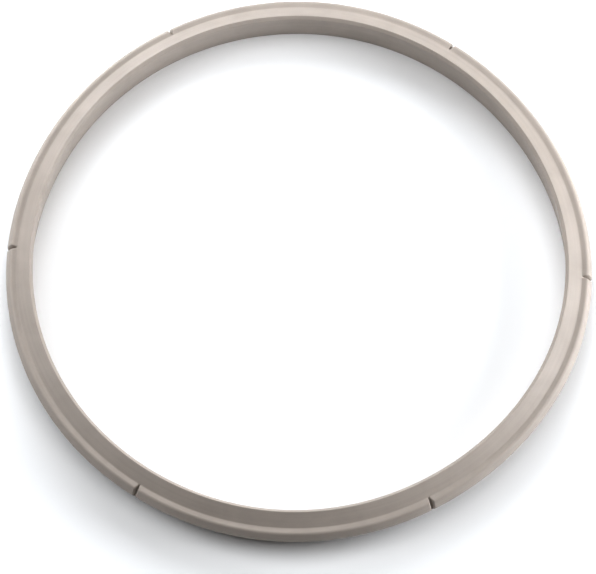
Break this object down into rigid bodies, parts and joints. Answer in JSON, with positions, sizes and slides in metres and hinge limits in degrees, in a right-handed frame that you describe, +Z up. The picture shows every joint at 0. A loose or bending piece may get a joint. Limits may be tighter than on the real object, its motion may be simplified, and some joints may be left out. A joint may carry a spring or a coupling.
{
  "type": "pressure cooker sealing ring",
  "caption": "Moulded silicone sealing ring for a stovetop pressure cooker's lid, with a sloping sealing band and a notched outer bead.",
  "frame": {"origin": "on the ring's axis, in the plane of the foot's face, which stands on the table", "axes": "+Z up along the ring's axis, from the foot to the band; +X through the middle of one notch"},
  "size_m": [0.228, 0.228, 0.0171],
  "materials": {
    "silicone": "matt warm grey silicone, faintly mottled, with a soft sheen along the moulded edges"
  },
  "bodies": {
    "root": {"sealing_ring": "silicone"}
  },
  "joints": []
}
